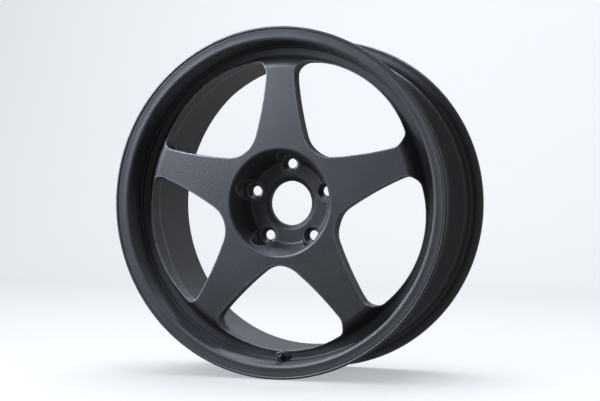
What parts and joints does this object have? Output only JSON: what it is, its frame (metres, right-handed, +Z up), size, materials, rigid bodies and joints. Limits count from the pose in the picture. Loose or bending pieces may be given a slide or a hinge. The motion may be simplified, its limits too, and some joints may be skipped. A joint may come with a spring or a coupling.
{
  "type": "racing wheel rim",
  "caption": "One-piece forged road and track wheel with flat spokes, a deep hub pocket and a clamp-in metal tyre valve.",
  "frame": {"origin": "on the wheel axis, in the plane of the hub mounting face", "axes": "+Y along the wheel axis from the street side to the car side, so the spokes face -Y; +Z up, with the valve straight down"},
  "size_m": [0.497, 0.2171, 0.4968],
  "materials": {
    "powder_coat": "satin black powder coat over forged aluminium",
    "black_anodised": "black anodised, satin",
    "rubber_seal": "moulded black rubber",
    "core_brass": "machined brass",
    "core_gasket_red": "moulded red seal",
    "spring_steel": "drawn spring wire"
  },
  "bodies": {
    "wheel": {"wheel_forging": "powder_coat", "valve_stem": "black_anodised", "inner_grommet": "rubber_seal", "outer_grommet": "rubber_seal", "thrust_washer": "black_anodised", "hex_nut": "black_anodised", "core_plug": "core_brass", "core_barrel": "core_brass", "core_gasket": "core_gasket_red", "core_spring": "spring_steel"},
    "cap_carrier": {"cap_seal": "rubber_seal"},
    "cap": {"cap_shell": "black_anodised"},
    "pin": {"core_pin": "core_brass", "core_cup": "core_brass", "core_cup_gasket": "rubber_seal"}
  },
  "joints": [
    {"name": "cap_lift", "type": "slide", "parent": "wheel", "child": "cap_carrier", "axis": [0, -0.9781, 0.2079], "range_m": [0, 0.0095]},
    {"name": "cap_turn", "type": "hinge", "parent": "cap_carrier", "child": "cap", "pos_m": [0, -0.05356, -0.21544], "axis": [0, -0.9781, 0.2079], "range_deg": [0, 4320]},
    {"name": "pin_press", "type": "slide", "parent": "wheel", "child": "pin", "axis": [0, 0.9781, -0.2079], "range_m": [0, 0.0015], "stiffness_N_per_m": 1500, "springref_m": -0.001, "deforming": ["core_spring"]}
  ],
  "couplings": [
    {"joint": "cap_turn", "follows": "cap_lift", "rad_per_m": 7913.3}
  ]
}
